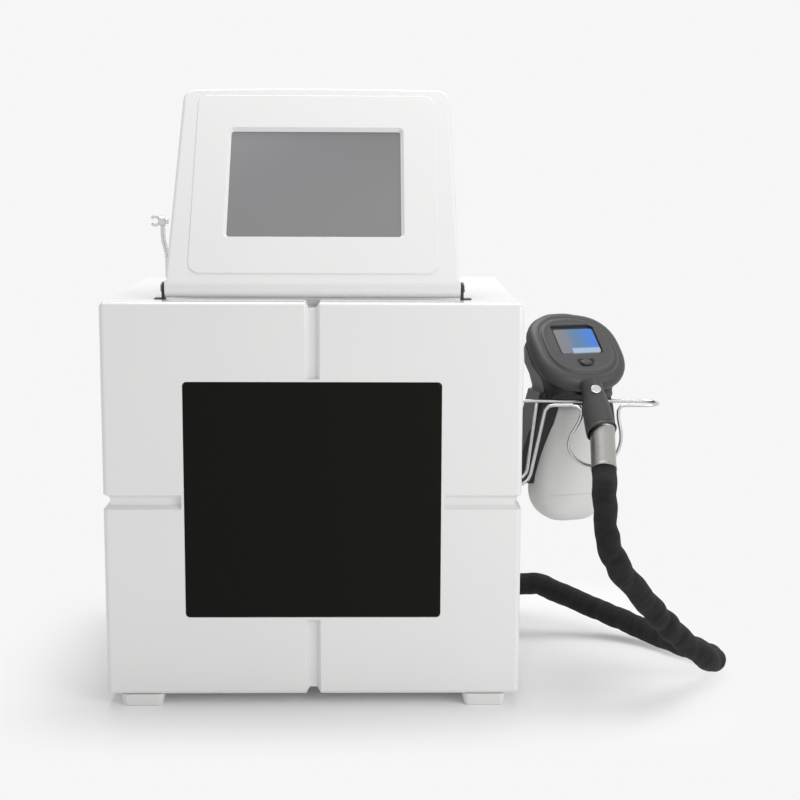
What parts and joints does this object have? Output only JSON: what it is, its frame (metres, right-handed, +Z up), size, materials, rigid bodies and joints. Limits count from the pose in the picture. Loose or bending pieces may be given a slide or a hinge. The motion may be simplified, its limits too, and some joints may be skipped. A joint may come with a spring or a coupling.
{
  "type": "cryolipolysis machine",
  "caption": "White desk-top body cooling machine with a leaning touch-screen head, a black front window and a cooled cup handpiece hung in a wire holder on a fabric-covered hose.",
  "frame": {"origin": "on the floor, under the middle of the machine's box without its hose", "axes": "+X to the right of the front, +Y to the back, +Z up"},
  "size_m": [0.7828, 0.4622, 0.7473],
  "materials": {
    "gloss_white_abs": "gloss",
    "white_painted_steel": "satin",
    "white_abs": "satin",
    "black_acrylic": "gloss",
    "screen_glass": "gloss",
    "display_glass": "gloss",
    "galvanised_steel": "satin",
    "aluminium": "satin",
    "circuit_board": "satin",
    "black_plastic": "satin",
    "natural_plastic": "satin",
    "soft_grey_plastic": "satin",
    "frosted_plastic": "satin",
    "brushed_steel": "brushed",
    "chrome": "polished",
    "black_fabric": "matt"
  },
  "bodies": {
    "cabinet": {"front_cover": "gloss_white_abs", "window_panel": "black_acrylic", "left_side_panel": "white_painted_steel", "right_side_panel": "white_painted_steel", "top_cover": "white_painted_steel", "base_pan": "galvanised_steel", "rear_panel": "white_painted_steel", "foot_front_left": "white_abs", "foot_front_right": "white_abs", "foot_rear_left": "white_abs", "foot_rear_right": "white_abs", "equipment_shelf": "galvanised_steel", "hinge_cheek_left": "black_plastic", "hinge_cheek_right": "black_plastic", "hinge_pin_left": "brushed_steel", "hinge_pin_right": "brushed_steel", "water_tank": "natural_plastic", "fill_port": "natural_plastic", "drain_port": "natural_plastic", "water_pump": "black_plastic", "radiator": "aluminium", "fan_frame": "black_plastic", "fan_guard": "chrome", "power_inlet": "black_plastic", "switch_frame": "black_plastic", "power_supply": "galvanised_steel", "control_board": "circuit_board", "vacuum_pump": "aluminium", "hose_gland": "black_plastic", "hose": "black_fabric", "holder_plate": "chrome", "holder_rear_bar": "chrome", "holder_end_bend": "chrome", "holder_throat": "chrome", "holder_front_arm": "chrome", "holder_rear_strut": "chrome", "hanger_socket": "black_plastic", "hanger_arm": "chrome"},
    "console": {"console_front_bezel": "gloss_white_abs", "console_rear_shell": "white_abs", "touch_screen": "screen_glass", "lcd_module": "aluminium", "console_board": "circuit_board"},
    "handpiece": {"handpiece_face": "soft_grey_plastic", "handpiece_body": "soft_grey_plastic", "handpiece_display": "display_glass", "handpiece_badge": "chrome", "neck_boot": "soft_grey_plastic", "ferrule": "brushed_steel", "cup": "frosted_plastic", "cold_plate_left": "aluminium", "cold_plate_right": "aluminium"},
    "handpiece_push_button": {"handpiece_button": "soft_grey_plastic"},
    "fan_wheel": {"fan_rotor": "black_plastic"},
    "rocker": {"power_rocker": "black_plastic"},
    "fill_cap": {"fill_cap": "black_plastic"},
    "drain_cap": {"drain_cap": "black_plastic"},
    "clip": {"hanger_clip": "chrome"}
  },
  "joints": [
    {"name": "console_tilt", "type": "hinge", "parent": "cabinet", "child": "console", "pos_m": [-0.0904, -0.1834, 0.507], "axis": [-1, 0, 0], "range_deg": [-20, 25]},
    {"name": "handpiece_lift", "type": "slide", "parent": "cabinet", "child": "handpiece", "axis": [0, 0, 1], "range_m": [0, 0.17]},
    {"name": "handpiece_button_press", "type": "slide", "parent": "handpiece", "child": "handpiece_push_button", "axis": [-0.1986, 0.6113, -0.766], "range_m": [0, 0.0015], "stiffness_N_per_m": 1500, "springref_m": -0.0006},
    {"name": "fan_spin", "type": "hinge", "parent": "cabinet", "child": "fan_wheel", "pos_m": [-0.0204, 0.187, 0.118], "axis": [0, 1, 0], "continuous": true},
    {"name": "power_rocker_tip", "type": "hinge", "parent": "cabinet", "child": "rocker", "pos_m": [-0.2604, 0.1975, 0.118], "axis": [1, 0, 0], "range_deg": [-12, 0]},
    {"name": "fill_cap_off", "type": "slide", "parent": "cabinet", "child": "fill_cap", "axis": [0, 1, 0], "range_m": [0, 0.02]},
    {"name": "drain_cap_off", "type": "slide", "parent": "cabinet", "child": "drain_cap", "axis": [0, 1, 0], "range_m": [0, 0.02]},
    {"name": "hanger_clip_swivel", "type": "hinge", "parent": "cabinet", "child": "clip", "pos_m": [-0.3194, 0.215, 0.5688], "axis": [0, 0, 1], "range_deg": [-150, 150]}
  ]
}
